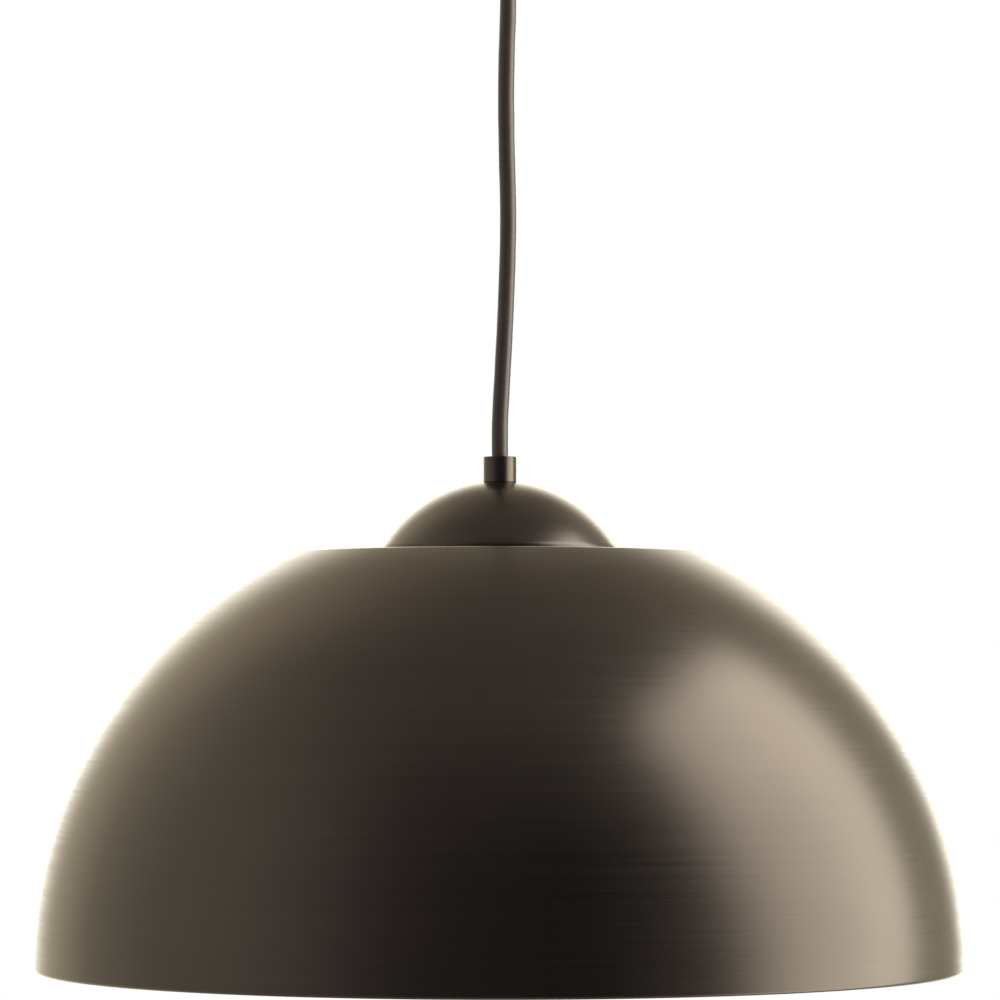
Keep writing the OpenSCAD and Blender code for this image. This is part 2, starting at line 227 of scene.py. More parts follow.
BRONZE = (0.146, 0.115, 0.0905)
BRONZE_EDGE = (1, 0.99, 0.88, 1)
RINGS = 260  # for each radian of latitude
RING_CHANGE = 1.5  # how fast a ring changes on its way round


def spun_bronze(name, centre):
    """Dark satin bronze on sheet spun about the lamp's axis, with fine rings about a centre on it."""
    material, nodes, principled, point = shader(name)
    x, y, z = nodes.split(point)
    latitude = nodes.math("ARCTAN2", nodes.math("SUBTRACT", z, centre), nodes.hypotenuse(x, y))
    turn = nodes.math("ARCTAN2", y, x)
    rings = nodes.add(
        "ShaderNodeCombineXYZ",
        X=nodes.times(nodes.math("COSINE", turn), RING_CHANGE),
        Y=nodes.times(nodes.math("SINE", turn), RING_CHANGE),
        Z=nodes.times(latitude, RINGS),
    ).outputs[0]
    fine = nodes.noise(rings, 1.0, 1)
    wide = nodes.noise(rings, 0.12, 2)
    clouds = nodes.noise(point, 14, 4, 0.6)
    specks = nodes.noise(point, 900, 2)
    tone = nodes.times_plus(fine, 0.5, nodes.times(clouds, 0.5))
    nodes.put(principled, "Base Color", varied(nodes, tone, BRONZE, 0.09))
    nodes.put(principled, "Specular Tint", BRONZE_EDGE)
    nodes.put(principled, "Metallic", 1.0)
    gloss = nodes.plus(nodes.times(fine, 0.09), nodes.times(clouds, 0.04))
    gloss = nodes.plus(nodes.times(specks, 0.04), gloss)
    nodes.put(principled, "Roughness", nodes.plus(gloss, 0.21))
    height = nodes.times_plus(wide, 2.0, nodes.times_plus(specks, 0.3, fine))
    nodes.bump(principled, 0.035, 0.05 * MM, height)
    return material


def cast_bronze():
    """The same finish on the small turned parts."""
    material, principled = surface(
        "bronze_small", BRONZE, 0.27, 1.0, spread=0.03, grain=2500, uneven=0.008, relief=0.003
    )
    principled.inputs["Specular Tint"].default_value = BRONZE_EDGE
    return material


def opal():
    """The bulb's diffusing plastic globe."""
    material, principled = surface("opal", (0.86, 0.86, 0.83), 0.32, spread=0.02, grain=900, relief=0.03)
    principled.inputs["Subsurface Weight"].default_value = 0.4
    principled.inputs["Subsurface Scale"].default_value = 0.01
    principled.inputs["Subsurface Radius"].default_value = (1, 0.95, 0.85)
    return material


def glazed(name, colour):
    material, principled = surface(name, colour, 0.22, spread=0.03, grain=300, uneven=0.04, relief=0.04)
    principled.inputs["Coat Weight"].default_value = 0.5
    principled.inputs["Coat Roughness"].default_value = 0.08
    return material


def jacket():
    """The cord's dark plastic jacket, with the slight lumps of the wires that are laid up in it."""
    material, nodes, principled, point = shader("cord_jacket")
    x, y, z = nodes.split(point)
    stretched = nodes.add("ShaderNodeCombineXYZ", X=x, Y=y, Z=nodes.times(z, 0.35)).outputs[0]
    lumps = nodes.noise(stretched, 160, 3)
    grains = nodes.noise(point, 1800, 2)
    nodes.put(principled, "Base Color", varied(nodes, lumps, (0.104, 0.076, 0.054), 0.10))
    nodes.put(principled, "Roughness", nodes.ramp(grains, [(0.3, 0.25), (0.7, 0.31)]))
    nodes.put(principled, "IOR", 1.7)
    nodes.put(principled, "Specular Tint", (1, 0.93, 0.82, 1))
    nodes.bump(principled, 0.35, 0.3 * MM, nodes.plus(lumps, nodes.times(grains, 0.015)))
    return material


CAP_SPHERE = 60 * MM
CAP_CENTRE = high("cap") + 0.4 * MM - CAP_SPHERE  # the hole takes 0.4 mm off the crown
CAP_LIP = 2.2 * MM

FINISH = {
    "shade": spun_bronze("bronze_shade", low("shade")),
    "cap": spun_bronze("bronze_cap", CAP_CENTRE),
    "canopy": spun_bronze("bronze_canopy", high("canopy")),
    "bronze": cast_bronze(),
    "enamel": surface("white_enamel", (0.80, 0.79, 0.75), 0.35, spread=0.02, grain=500, relief=0.06)[0],
    "zinc": surface("zinc", (0.56, 0.56, 0.53), 0.34, 1.0, spread=0.12, grain=900, uneven=0.08)[0],
    "brass": surface("brass", (0.72, 0.50, 0.21), 0.27, 1.0, spread=0.08, grain=800)[0],
    "nickel": surface("nickel", (0.62, 0.60, 0.55), 0.22, 1.0, spread=0.05, grain=800)[0],
    "ground_green": surface("green_screw", (0.03, 0.24, 0.08), 0.30, 0.6, spread=0.10, grain=900)[0],
    "cord_jacket": jacket(),
    "wire_black": surface("wire_black", (0.018, 0.018, 0.018), 0.40, spread=0.10, grain=1500)[0],
    "wire_white": surface("wire_white", (0.78, 0.78, 0.74), 0.40, spread=0.03, grain=1500)[0],
    "wire_green": surface("wire_green", (0.02, 0.20, 0.06), 0.40, spread=0.08, grain=1500)[0],
    "wire_nut": surface("wire_nut", (0.75, 0.19, 0.02), 0.42, spread=0.05, grain=1200)[0],
    "holder_black": surface("phenolic", (0.020, 0.018, 0.017), 0.30, spread=0.15, grain=700)[0],
    "holder_ceramic": glazed("ceramic", (0.80, 0.78, 0.72)),
    "bulb_insulator": glazed("black_glass", (0.012, 0.012, 0.014)),
    "bulb_housing": surface("bulb_housing", (0.82, 0.82, 0.80), 0.36, spread=0.02, grain=1200)[0],
    "bulb_diffuser": opal(),
    "led_board": surface("board_white", (0.78, 0.79, 0.78), 0.45, spread=0.03, grain=900)[0],
    "phosphor": surface("phosphor", (0.85, 0.62, 0.08), 0.50, spread=0.06, grain=2500)[0],
}

# ---------------------------------------------------------------- outlines


def arc(x, z, r, start, end, steps):
    """Points on an arc about (x, z), its angles in degrees."""
    angles = [math.radians(start + (end - start) * k / steps) for k in range(steps + 1)]
    return [(x + r * math.cos(a), z + r * math.sin(a)) for a in angles]


def rounded(corners, steps=4):
    """The closed outline through corners of (radius, height, round), with each corner filleted."""
    outline = []
    for i, (x, z, fillet) in enumerate(corners):
        here = Vector((x, z))
        if not fillet:
            outline.append((x, z))
            continue
        back = Vector(corners[i - 1][:2]) - here
        on = Vector(corners[(i + 1) % len(corners)][:2]) - here
        half = back.angle(on) / 2
        longest = 0.45 * min(back.length, on.length)
        cut = min(fillet / math.tan(half), longest)
        back.normalize()
        on.normalize()
        middle = here + (back + on).normalized() * cut / math.cos(half)
        start = here + back * cut - middle
        end = here + on * cut - middle
        turn = math.atan2(start.x * end.y - start.y * end.x, start.dot(end))
        outline.append(tuple(here + back * min(1.6 * cut, 1.05 * longest)))
        for k in range(steps + 1):
            outline.append(tuple(middle + Matrix.Rotation(turn * k / steps, 2) @ start))
        outline.append(tuple(here + on * min(1.6 * cut, 1.05 * longest)))
    return outline


# ---------------------------------------------------------------- meshes


def opened(mesh):
    """A mesh's copy, for editing."""
    work = bmesh.new()
    work.from_mesh(mesh)
    return work


def closed(work, mesh):
    """Puts the edited copy into a mesh."""
    work.to_mesh(mesh)
    work.free()
    return mesh


def solid(vertices, faces, marks=None, crease=35):
    """A mesh of faces, some with the second material where marks say so."""
    mesh = bpy.data.meshes.new("piece")
    mesh.from_pydata(vertices, [], faces)
    if marks:
        mesh.polygons.foreach_set("material_index", marks)
    return finished(mesh, crease)


def finished(mesh, crease=35):
    """The mesh with its faces turned outwards, smooth but for the edges that crease."""
    work = opened(mesh)
    bmesh.ops.recalc_face_normals(work, faces=work.faces)
    closed(work, mesh)
    mesh.polygons.foreach_set("use_smooth", [True] * len(mesh.polygons))
    mesh.set_sharp_from_angle(angle=math.radians(crease))
    return mesh


def lathe(outline, segments=192, shape=None, second=range(0), crease=35):
    """Turns a closed outline of (radius, height) about Z. shape(angle, radius, height) may change a
    radius. The outline's edges whose numbers are in second get the second material."""
    vertices, rows = [], []
    for r, z in outline:
        if r < 1e-7:
            rows.append([len(vertices)] * segments)
            vertices.append((0, 0, z))
            continue
        rows.append(range(len(vertices), len(vertices) + segments))
        for k in range(segments):
            angle = TURN * k / segments
            wide = shape(angle, r, z) if shape else r
            vertices.append((wide * math.cos(angle), wide * math.sin(angle), z))
    faces, marks = [], []
    for i, row in enumerate(rows):
        after = rows[(i + 1) % len(rows)]
        for k in range(segments):
            m = (k + 1) % segments
            face = list(dict.fromkeys((row[k], row[m], after[m], after[k])))
            if len(face) > 2:
                faces.append(face)
                marks.append(1 if i in second else 0)
    return solid(vertices, faces, marks, crease)


def spline(points, steps):
    """Points along a smooth line through points."""
    line = []
    for i in range(len(points) - 1):
        a, b = points[max(i - 1, 0)], points[i]
        c, d = points[i + 1], points[min(i + 2, len(points) - 1)]
        for k in range(steps):
            t = k / steps
            bend = 2 * a - 5 * b + 4 * c - d
            twist = 3 * b - a - 3 * c + d
            line.append(0.5 * (2 * b + (c - a) * t + bend * t**2 + twist * t**3))
    line.append(points[-1])
    return line


def tube(route, r, steps=6, sides=20):
    """A closed round tube along a smooth line through the route's points, its ends slightly rounded."""
    line = spline([Vector(p) for p in route], steps)
    last = len(line) - 1
    tangents = [(line[min(i + 1, last)] - line[max(i - 1, 0)]).normalized() for i in range(last + 1)]
    side = tangents[0].orthogonal().normalized()
    rings = []
    for i, (p, t) in enumerate(zip(line, tangents)):
        side = (side - t * side.dot(t)).normalized()
        over = t.cross(side)
        if i == 0:
            rings += [(p, side, over, 0.82 * r), (p + t * 0.12 * r, side, over, r)]
        elif i == last:
            rings += [(p - t * 0.12 * r, side, over, r), (p, side, over, 0.82 * r)]
        else:
            rings.append((p, side, over, r))
    vertices = [
        tuple(p + wide * (side * math.cos(TURN * k / sides) + over * math.sin(TURN * k / sides)))
        for p, side, over, wide in rings
        for k in range(sides)
    ]
    faces = [
        (i + k, i + (k + 1) % sides, i + sides + (k + 1) % sides, i + sides + k)
        for i in range(0, (len(rings) - 1) * sides, sides)
        for k in range(sides)
    ]
    faces.append(tuple(range(sides)))
    faces.append(tuple(range((len(rings) - 1) * sides, len(rings) * sides)))
    return solid(vertices, faces, crease=50)


def wave_round(t):
    """Height of a rolled lamp thread through one turn, from 0 to 1."""
    return 0.5 - 0.5 * math.cos(TURN * t)


def wave_vee(t):
    """Height of a cut thread through one turn, its crest and root flattened."""
    return min(1, max(0, 1.3 * (1 - abs(2 * t - 1)) - 0.15))


def helix(pitch, depth, wave, start, end, inner):
    """A shape for lathe: a right-hand thread, cut depth deep between two heights and outside inner."""

    def shape(angle, r, z):
        if r < inner or not start < z < end:
            return r
        fade = min(1, (z - start) / pitch, (end - z) / pitch)
        return r - depth * fade * (1 - wave((z / pitch - angle / TURN) % 1))

    return shape


def levels(start, end, most):
    """Heights from start to end, no more than most apart."""
    count = math.ceil(abs(end - start) / most)
    return [start + (end - start) * k / count for k in range(count + 1)]


def threaded(r, bore, bottom, top, pitch, depth, segments=64):
    """A rod or, with a bore, a tube with a cut thread outside."""
    chamfer = 0.4 * MM
    side = [(r, z) for z in levels(top - chamfer, bottom + chamfer, pitch / 8)]
    outline = [(bore, top), (r - chamfer, top), *side, (r - chamfer, bottom), (bore, bottom)]
    return lathe(outline, segments, helix(pitch, depth, wave_vee, bottom, top, r - 0.01 * MM), crease=50)


def hexagon(angle, flats):
    return flats / 2 / math.cos(angle % (TURN / 6) - TURN / 12)


def nut(flats, bore, bottom, top):
    """A hexagon nut with the curved chamfers that turning leaves on its corners."""
    flat = 0.97 * flats / 2
    mouth = 0.3 * MM
    depth = 1.02 * (flats / math.sqrt(3) - flat) * math.tan(math.radians(30))
    ends = levels(0, depth, depth / 8)
    side = [(flats, top - d) for d in ends] + [(flats, bottom + d) for d in reversed(ends)]
    outline = [(bore, top - mouth), (bore + mouth, top), *side]
    outline += [(bore + mouth, bottom), (bore, bottom + mouth)]

    def shape(angle, r, z):
        if r < flats / 2:
            return r
        cone = flat + min(top - z, z - bottom) / math.tan(math.radians(30))
        return min(hexagon(angle, flats), cone)

    return lathe(outline, 96, shape, crease=28)


def fluted(count, depth, start, end, inner):
    """A shape for lathe: grooves with round ribs between them, between two heights and outside inner."""

    def shape(angle, r, z):
        if r < inner or not start < z < end:
            return r
        return r - depth * abs(math.cos(count * angle / 2)) ** 3

    return shape


def moved(mesh, *matrices):
    for matrix in matrices:
        mesh.transform(matrix)
    return mesh


def joined(*meshes):
    """One mesh of several separate shells."""
    work = bmesh.new()
    for mesh in meshes:
        work.from_mesh(mesh)
        bpy.data.meshes.remove(mesh)
    return finished(closed(work, bpy.data.meshes.new("piece")))


def carved(mesh, *cutters):
    """The mesh with the cutters' shapes taken out of it."""
    body = placed("body", mesh)
    tools = [placed("cutter", cutter) for cutter in cutters]
    for tool in tools:
        cut = body.modifiers.new("cut", "BOOLEAN")
        cut.object = tool
        cut.solver = "EXACT"
    graph = bpy.context.evaluated_depsgraph_get()
    result = bpy.data.meshes.new_from_object(body.evaluated_get(graph))
    for item in [body, *tools]:
        bpy.data.objects.remove(item)
    work = opened(result)
    bmesh.ops.remove_doubles(work, verts=work.verts, dist=0.002 * MM)
    bmesh.ops.dissolve_degenerate(work, edges=work.edges, dist=0.001 * MM)
    bmesh.ops.triangulate(work, faces=[face for face in work.faces if len(face.verts) > 4])
    return finished(closed(work, result))


def rod(r, bottom, top):
    """A plain rod, for cutting."""
    return lathe([(0, bottom), (r, bottom), (r, top), (0, top)], 48)


def block(size, centre):
    """A plain box, for cutting."""
    work = bmesh.new()
    bmesh.ops.create_cube(work, size=1)
    cube = closed(work, bpy.data.meshes.new("block"))
    return moved(cube, Matrix.Diagonal((*size, 1)), Matrix.Translation(centre))


def refined(node, edge=0.25 * MM):
    """A CAD node's shape with its sharp edges rounded."""
    work = opened(frame["nodes"][node].data)
    bmesh.ops.remove_doubles(work, verts=work.verts, dist=1e-6)
    bmesh.ops.dissolve_limit(work, angle_limit=math.radians(1), verts=work.verts, edges=work.edges)
    sharp = [e for e in work.edges if len(e.link_faces) == 2 and e.calc_face_angle(0) > math.radians(40)]
    bmesh.ops.bevel(
        work, geom=sharp, offset=edge, segments=3, profile=0.5, affect="EDGES", clamp_overlap=True
    )
    return finished(closed(work, bpy.data.meshes.new("piece")))


# ---------------------------------------------------------------- pieces


def stand_for(piece, node):
    """The piece rides on the CAD node's body and replaces the node."""
    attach(piece, frame["nodes"][node]["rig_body"])
    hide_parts(node)


def add(name, node, mesh, *finish):
    """A piece that stands for a CAD node, in the finish of the node's slot or in the finishes named."""
    for key in finish or [slots[node]]:
        mesh.materials.append(FINISH[key])
    mesh.name = name
    piece = placed(name, mesh)
    stand_for(piece, node)
    # A real drop is longer, so the shade doesn't reflect the ceiling fitting
    piece.visible_glossy = piece["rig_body"] not in ("ceiling_strap", "ceiling_fitting")


# The free cord: (sideways, height above the collar) of points on its line, in millimetres
CORD_ROUTE = [
    (0, 0), (0, 15), (1, 35), (2.3, 60), (3.4, 90), (3.6, 110), (3, 135), (2.7, 160),
    (3, 180), (3.6, 200), (3.4, 225), (1.5, 250), (0, 262), (0, 270),
]
CORD_R = 3.7 * MM
GRIP_BORE = CORD_R + 0.3 * MM
MOUTH = low("canopy_grip")


def make_cord():
    """The free cord between the two grips, slightly uneven in thickness."""
    foot = high("collar")
    route = [Vector((x * MM, 0, foot + z * MM)) for x, z in reversed(CORD_ROUTE)]
    line = spline(route, 4)
    curve = bpy.data.curves.new("cord", "CURVE")
    curve.dimensions = "3D"
    curve.bevel_depth = CORD_R
    curve.bevel_resolution = 8
    curve.use_fill_caps = True
    path = curve.splines.new("POLY")
    path.points.add(len(line) - 1)
    for k, (point, p) in enumerate(zip(path.points, line)):
        point.co = (*p, 1)
        point.radius = 1 + 0.012 * math.sin(1.9 * k) * math.sin(0.37 * k + 1)
    curve.materials.append(FINISH["cord_jacket"])
    path.use_smooth = True
    piece = placed("hanging_cord", curve)
    stand_for(piece, "cord")


make_cord()


def jacket_piece(bottom, top):
    f = 0.4 * MM
    return lathe(rounded([(0, bottom, 0), (CORD_R, bottom, f), (CORD_R, top, f), (0, top, 0)]), 64)


add("cord_knuckle", "cord_flex", lathe(arc(0, MOUTH, CORD_R, -90, 90, 32), 64))
add("cord_tail_jacket", "cord_tail", jacket_piece(MOUTH + 2.2 * MM, high("cord_tail")))
add("cord_end_jacket", "cord_end", jacket_piece(low("cord_end"), high("cord_end")))

# ---- shade and cap

HOLE = radius("nipple") + 0.15 * MM
SHOULDER = 2.5 * MM
TOP_ROUND = 69 * MM
TOP_SLOPE = 5
HEM = 1.6 * MM


def make_shade():
    r, rim, top = radius("shade"), low("shade"), high("shade")
    inner = r - SHEET
    height = top - rim

    def shoulder(sphere, level, fillet, gentle):
        """The angle where it meets the sphere, and its points: slightly down, then round onto it."""
        slope = math.radians(TOP_SLOPE)
        z = level - fillet * math.cos(slope) - gentle * (1 - math.cos(slope))
        x = math.sqrt((sphere - fillet) ** 2 - z**2)
        meet = math.degrees(math.atan2(z, x))
        ease = x - (gentle - fillet) * math.sin(slope)
        fall = arc(ease, rim + level - gentle, gentle, 90, 90 - TOP_SLOPE, 6)
        return meet, fall + arc(x, rim + z, fillet, 90 - TOP_SLOPE, meet, 8)[1:]

    out_angle, out_round = shoulder(r, height, SHOULDER, TOP_ROUND)
    in_angle, in_round = shoulder(inner, height - SHEET, SHOULDER - SHEET, TOP_ROUND - SHEET)
    rise = math.degrees(math.asin(HEM / r))
    meet = math.degrees(math.acos((HEM - SHEET) / HEM))
    outside = (
        [(HOLE + 0.2 * MM, top), (20 * MM, top), (50 * MM, top), (out_round[0][0] - 1.5 * MM, top)]
        + out_round
        + arc(0, rim, r, out_angle - 0.4, rise + 0.6, 72)
        + arc(r - HEM, rim + HEM, HEM, 0, meet - 360, 28)
    )
    inside = (
        arc(0, rim, inner, math.degrees(math.asin(2.5 * HEM / inner)), in_angle - 0.4, 72)
        + in_round[::-1]
        + [(in_round[0][0] - 1.5 * MM, top - SHEET), (50 * MM, top - SHEET), (20 * MM, top - SHEET)]
        + [(HOLE + 0.2 * MM, top - SHEET), (HOLE, top - SHEET + 0.2 * MM), (HOLE, top - 0.2 * MM)]
    )
    painted = range(len(outside) - 1, len(outside) + len(inside) - 4)
    mesh = lathe(outside + inside, 288, second=painted)
    add("dome_shade", "shade", mesh, "shade", "enamel")


make_shade()


def make_cap():
    """A dome on a short upright lip."""
    foot, crown = low("cap"), high("cap")
    inner, lip, nick = CAP_SPHERE - SHEET, foot + CAP_LIP, 0.15 * MM

    def angle(r, z):
        return math.degrees(math.asin((z - CAP_CENTRE) / r))

    outside = arc(0, CAP_CENTRE, CAP_SPHERE, angle(CAP_SPHERE, crown), angle(CAP_SPHERE, lip) + 0.2, 40)
    inside = arc(0, CAP_CENTRE, inner, angle(inner, lip), angle(inner, crown - SHEET), 40)
    x_out, x_in = radius("cap"), inside[0][0]
    wall = [(x_out, lip - 0.2 * MM), (x_out, (foot + lip) / 2), (x_out, foot + nick), (x_out - nick, foot)]
    edge = [(x_in + nick, foot), (x_in, foot + nick)]
    outline = [(HOLE, crown)] + outside + wall + edge + inside + [(HOLE, crown - SHEET)]
    add("cap_dome", "cap", lathe(outline, 192, crease=25), "cap")


make_cap()

# ---- collar and nipple

TO_BACK = Matrix.Rotation(-math.pi / 2, 4, "X")
GRUB_HOLE = 1.55 * MM
NUT_FLATS = 14.3 * MM


def grub_bore(node):
    """A hole from the axis out to the back, at the height of a grip's grub screw."""
    near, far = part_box(node)
    return moved(rod(GRUB_HOLE, 0, 12 * MM), TO_BACK, Matrix.Translation((0, 0, (near.z + far.z) / 2)))


def grub_screw(node):
    """A slotless screw with a hexagon socket, lying along Y with its tip on the cord."""
    near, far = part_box(node)
    r = (far.x - near.x) / 2
    length = far.y - near.y
    socket, deep = 1.5 * MM, 1.4 * MM
    side = [(r, z) for z in levels(length - 0.3 * MM, 0.4 * MM, 0.06 * MM)]
    outline = [
        (0, length - deep), (0.5 * socket, length - deep + 0.05 * MM), (0.51 * socket, length - 0.1 * MM),
        (0.62 * socket, length), (r - 0.25 * MM, length), *side, (r - 0.5 * MM, 0), (0, 0),
    ]
    cut = helix(0.5 * MM, 0.25 * MM, wave_vee, 0.2 * MM, length, r - 0.01 * MM)

    def shape(angle, wide, z):
        if wide < 0.55 * socket and z > length - 1.2 * deep:
            return min(hexagon(angle, socket), 0.6 * socket) if wide > 0.4 * socket else wide
        return cut(angle, wide, z)

    mesh = lathe(outline, 48, shape, crease=40)
    middle = (near.z + far.z) / 2
    return moved(mesh, TO_BACK, Matrix.Translation((0, near.y, middle)))


def make_collar():
    r, bottom, top = radius("collar"), low("collar"), high("collar")
    shelf = high("nipple")
    outline = rounded([
        (GRIP_BORE, top, 0.4 * MM), (r, top, 0.25 * MM), (r, bottom, 0.15 * MM), (HOLE, bottom, 0.2 * MM),
        (HOLE, shelf, 0), (GRIP_BORE, shelf, 0),
    ])
    mesh = carved(lathe(outline, 128), grub_bore("collar_screw"))
    add("cord_collar", "collar", mesh, "bronze")
    add("collar_grub_screw", "collar_screw", grub_screw("collar_screw"))


make_collar()
add(
    "threaded_nipple", "nipple",
    threaded(radius("nipple"), 3.5 * MM, low("nipple"), high("nipple"), 0.94 * MM, 0.45 * MM),
)
add("shade_hex_nut", "shade_nut", nut(NUT_FLATS, HOLE, low("shade_nut"), high("shade_nut")))
add("holder_hex_nut", "socket_nut", nut(NUT_FLATS, HOLE, low("socket_nut"), high("socket_nut")))


def make_lock_washer():
    r, bottom, top = radius("lock_washer"), low("lock_washer"), high("lock_washer")
    outline = rounded([
        (HOLE, top, 0.1 * MM), (7.5 * MM, top, 0), (r, top, 0.1 * MM), (r, bottom, 0.1 * MM),
        (7.5 * MM, bottom, 0), (HOLE, bottom, 0.1 * MM),
    ])

    def teeth(angle, wide, z):
        if wide < 7.6 * MM:
            return wide
        return wide - 1.9 * MM * (abs((16 * angle / TURN) % 1 - 0.5) < 0.22)

    add("toothed_washer", "lock_washer", lathe(outline, 256, teeth))


make_lock_washer()

# ---- lampholder


def make_holder():
    """The holder's upper shell: a bell with a threaded hub."""
    hub_top, skirt = high("socket_cap"), low("socket_cap")
    r = radius("socket_cap")
    wall, bend, hub_r = 1.2 * MM, 8 * MM, 8 * MM
    shoulder = hub_top - 6 * MM
    outside = arc(r - bend, shoulder - bend, bend, 90, 0, 20)
    inside = arc(r - bend, shoulder - bend, bend - wall, 0, 90, 20)
    hub = rounded([
        (HOLE, shoulder, 0), (HOLE, hub_top, 0.3 * MM), (hub_r, hub_top, 0.8 * MM),
        (hub_r, shoulder + 0.6 * MM, 0),
    ])
    outline = (
        hub
        + [(hub_r + 0.2 * MM, shoulder + 0.15 * MM), (hub_r + 0.7 * MM, shoulder)]
        + outside
        + [(r, skirt + 3 * MM), (r, skirt + 0.3 * MM), (r - 0.3 * MM, skirt), (r - wall + 0.2 * MM, skirt)]
        + [(r - wall, skirt + 0.2 * MM), (r - wall, skirt + 3 * MM)]
        + inside
        + [(HOLE, shoulder - wall)]
    )
    add("holder_cap", "socket_cap", lathe(outline, 128))


make_holder()


def make_sleeve():
    """The holder's ribbed outer sleeve, with a ledge inside for its ceramic body."""
    top, end = high("socket_sleeve"), low("socket_sleeve")
    r, bore, ledge = radius("socket_sleeve"), 15.6 * MM, low("socket_core")
    skirt = low("socket_cap")
    upper, waist = 17.2 * MM, 17.6 * MM
    f = 0.4 * MM
    outline = rounded([
        (bore, top, f), (upper, top, f), (upper, skirt, 0.2 * MM), (r, skirt, f), (r, skirt - 2 * MM, f),
        (waist, skirt - 3.5 * MM, f), (waist, end + 4 * MM, f), (r, end + 2.5 * MM, f), (r, end, 0.9 * MM),
        (bore, end, f), (bore, ledge - 2 * MM, 0), (14.2 * MM, ledge - 2 * MM, 0), (14.2 * MM, ledge, 0),
        (bore, ledge, 0),
    ])
    ribs = fluted(36, 0.25 * MM, end + 5 * MM, skirt - 4.5 * MM, waist - 0.05 * MM)
    middle = [(waist, z) for z in levels(skirt - 4.4 * MM, end + 5.1 * MM, 1.2 * MM)]
    at = max(i for i, (x, z) in enumerate(outline) if abs(x - waist) < 1e-6 and z > end + 20 * MM) + 1
    add("holder_sleeve", "socket_sleeve", lathe(outline[:at] + middle + outline[at:], 288, ribs))


make_sleeve()

PITCH = 3.6286 * MM  # seven turns to the inch
THREAD = 0.75 * MM


def make_shell():
    """The rolled brass shell that the bulb screws into."""
    outer, top, end = radius("screw_shell"), high("screw_shell"), low("screw_shell")
    inner = outer - 0.5 * MM
    rows = levels(top - 1.5 * MM, end + 0.3 * MM, PITCH / 12)
    outline = (
        [(8 * MM, top), (outer - 1 * MM, top), (outer - 0.3 * MM, top - 0.3 * MM)]
        + [(outer, z) for z in rows]
        + [(outer - 0.15 * MM, end), (inner + 0.15 * MM, end)]
        + [(inner, z) for z in reversed(rows)]
        + [(inner - 0.3 * MM, top - 0.7 * MM), (8 * MM, top - 0.5 * MM)]
    )
    shape = helix(PITCH, THREAD, wave_round, end, top - 1.2 * MM, inner - 0.01 * MM)
    add("holder_screw_shell", "screw_shell", lathe(outline, 96, shape, crease=60))


make_shell()

add("holder_core", "socket_core", refined("socket_core", 0.3 * MM))
add("holder_contact", "socket_contact", refined("socket_contact", 0.1 * MM))
add("ground_wire_lug", "ground_lug", refined("ground_lug", 0.12 * MM))


def terminal_screw(node, side):
    near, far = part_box(node)
    length = far.x - near.x
    z = (near.z + far.z) / 2
    head_r, head_h, r = (far.z - near.z) / 2, 1.4 * MM, 1.65 * MM
    shank = [(r, h) for h in levels(0.4 * MM, length - head_h, 0.09 * MM)]
    dome = [
        (head_r, length - head_h), (head_r, length - 0.5 * head_h), (0.94 * head_r, length - 0.2 * head_h),
        (0.8 * head_r, length - 0.05 * head_h), (0.5 * head_r, length), (0, length),
    ]
    cut = helix(0.7 * MM, 0.3 * MM, wave_vee, 0, length - head_h, r - 0.01 * MM)

    def shape(angle, wide, h):
        return cut(angle, wide, h) if wide < r + 0.01 * MM else wide

    mesh = lathe([(0, 0), (r - 0.4 * MM, 0), *shank, *dome], 48, shape)
    slot = block((2.2 * head_r, 0.9 * MM, 1.4 * MM), (0, 0, length))
    mesh = carved(mesh, slot)
    start = Matrix.Translation((near.x if side > 0 else far.x, 0, z))
    return moved(mesh, Matrix.Rotation(side * math.pi / 2, 4, "Y"), start)


add("terminal_screw_line", "line_screw", terminal_screw("line_screw", -1))
add("terminal_screw_neutral", "neutral_screw", terminal_screw("neutral_screw", 1))

# ---- wires

WIRE_R = 1.15 * MM
LINE_XY = (-1.7, -1)
NEUTRAL_XY = (1.7, -1)
GROUND_XY = (0, 1.95)


def mm(points):
    return [tuple(v * MM for v in p) for p in points]


def terminal_wire(side, x, y):
    top, end = low("cord_end") / MM, low("nipple") / MM
    out = side * 12.3
    foot = low("line_wire") / MM
    return tube(mm([
        (x, y, top), (x, y, end), (x, y, end - 1.5), (side * 5, 1.2, end - 3.6),
        (side * 9.5, 2.8, end - 4.2), (out, 3.2, end - 6.5), (out, 3.2, (end - 6.5 + foot) / 2),
        (out, 3.2, foot),
    ]), WIRE_R)


def make_holder_wires():
    top, end = low("cord_end") / MM, low("nipple") / MM
    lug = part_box("ground_lug")
    lug_y, barrel = lug[1].y / MM - 1.5, lug[0].z / MM
    x, y = GROUND_XY
    add("line_wire_lead", "line_wire", terminal_wire(-1, *LINE_XY))
    add("neutral_wire_lead", "neutral_wire", terminal_wire(1, *NEUTRAL_XY))
    add("ground_wire_lead", "ground_wire", tube(mm([
        (x, y, top), (x, y, end), (x, y, end - 1), (0, 4.2, end - 3), (0, 6.8, end - 3.4),
        (0, 8.8, end - 2), (0, lug_y, barrel - 1), (0, lug_y, barrel),
    ]), WIRE_R))


make_holder_wires()

NUT_TURN = math.radians(38)
NUT_Z = -13


def nut_side(side, distance, z):
    return (side * distance * math.cos(NUT_TURN), -distance * math.sin(NUT_TURN), z)


def side_tail(side, x, y):
    start = high("cord_tail") / MM
    return tube(mm([
        (x, y, start), (x, y, start + 2), nut_side(side, 5, -10), nut_side(side, 12, -8.5),
        nut_side(side, 20, -10.5), nut_side(side, 28, NUT_Z), nut_side(side, 34, NUT_Z),
    ]), WIRE_R)


